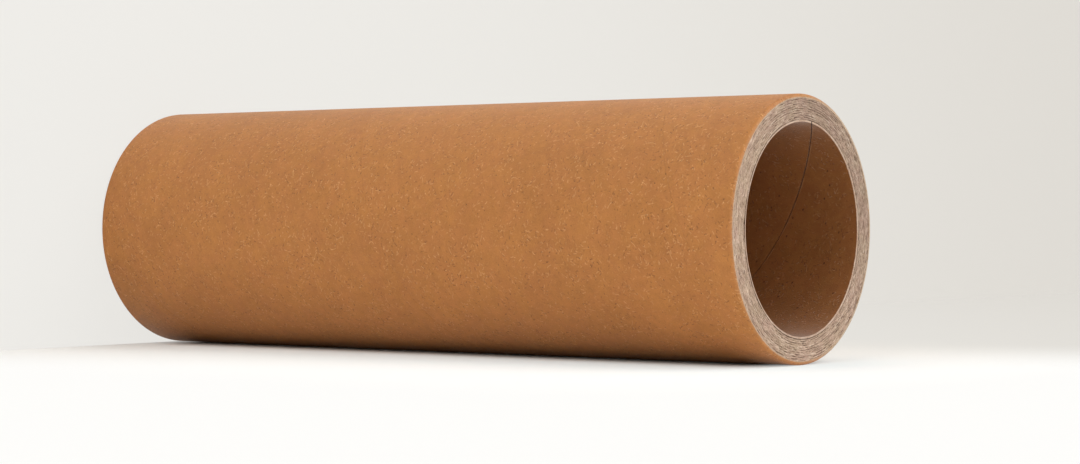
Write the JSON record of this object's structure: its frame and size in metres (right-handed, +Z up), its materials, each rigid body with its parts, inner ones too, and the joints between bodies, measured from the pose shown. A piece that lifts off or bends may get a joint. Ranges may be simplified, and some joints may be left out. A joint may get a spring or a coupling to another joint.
{
  "type": "cardboard core",
  "caption": "Thick spiral-wound paper tube with a kraft liner in the bore, a grey board wall and a kraft cover, for rolling film, paper or tape on.",
  "frame": {"origin": "centre of the foot, on the axis, at the lower cut face", "axes": "+Z up along the core's axis; the core stands on its cut end; X and Y are across it, and angles are counted from +X towards +Y"},
  "size_m": [0.096, 0.096, 0.305],
  "materials": {
    "liner_kraft": "matte kraft board, slightly polished by the mandrel",
    "grey_board": "rough knife-cut grey board edges with darker glue lines",
    "cover_kraft": "matte kraft paper with fine light and dark fibres"
  },
  "bodies": {
    "root": {"inner_liner": "liner_kraft", "board_body": "grey_board", "outer_wrap": "cover_kraft"}
  },
  "joints": []
}
